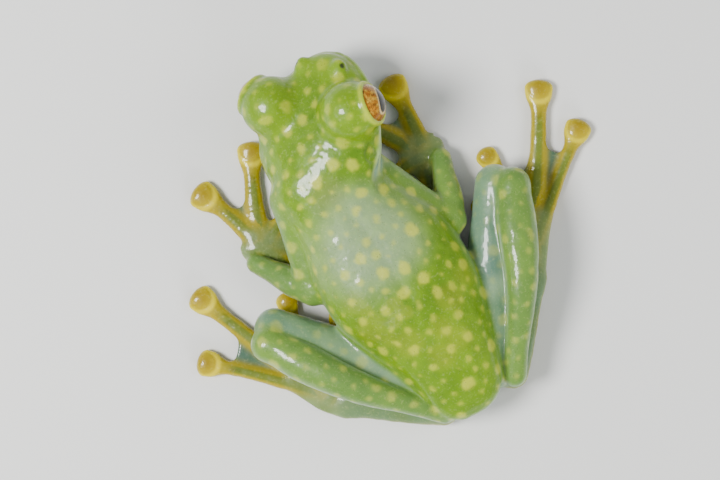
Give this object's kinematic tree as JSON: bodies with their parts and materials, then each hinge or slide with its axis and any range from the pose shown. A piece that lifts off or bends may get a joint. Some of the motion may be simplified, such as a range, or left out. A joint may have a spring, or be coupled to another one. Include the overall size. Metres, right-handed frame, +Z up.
{
  "type": "glass frog",
  "caption": "Life-size crouching frog with a see-through belly, folded legs, webbed feet and round toe pads, resting flat on its belly.",
  "frame": {"origin": "on the floor, under the middle of the bounding box", "axes": "+Z up; the frog faces -Y; its left side is +X"},
  "size_m": [0.0342, 0.0292, 0.0101],
  "materials": {
    "back_skin": "moist satin, lime green with small pale spots",
    "limb_skin": "moist satin, olive green",
    "thigh_skin": "moist satin, translucent blue-green",
    "digit_skin": "moist satin, yellow",
    "eye": "wet gloss, gold iris with a dark pupil"
  },
  "bodies": {
    "root": {"upper_arm_left": "limb_skin", "forearm_left": "limb_skin", "hand_left": "digit_skin", "finger_1_left": "digit_skin", "finger_2_left": "digit_skin", "finger_3_left": "digit_skin", "finger_4_left": "digit_skin", "upper_arm_right": "limb_skin", "forearm_right": "limb_skin", "hand_right": "digit_skin", "finger_1_right": "digit_skin", "finger_2_right": "digit_skin", "finger_3_right": "digit_skin", "finger_4_right": "digit_skin", "thigh_left": "thigh_skin", "shank_left": "limb_skin", "ankle_left": "limb_skin", "foot_left": "limb_skin", "toe_1_left": "digit_skin", "toe_2_left": "digit_skin", "toe_3_left": "digit_skin", "toe_4_left": "digit_skin", "toe_5_left": "digit_skin", "thigh_right": "thigh_skin", "shank_right": "limb_skin", "ankle_right": "limb_skin", "foot_right": "limb_skin", "toe_1_right": "digit_skin", "toe_2_right": "digit_skin", "toe_3_right": "digit_skin", "toe_4_right": "digit_skin", "toe_5_right": "digit_skin", "torso": "back_skin", "head": "back_skin", "eye_left": "eye", "eye_right": "eye"}
  },
  "joints": []
}
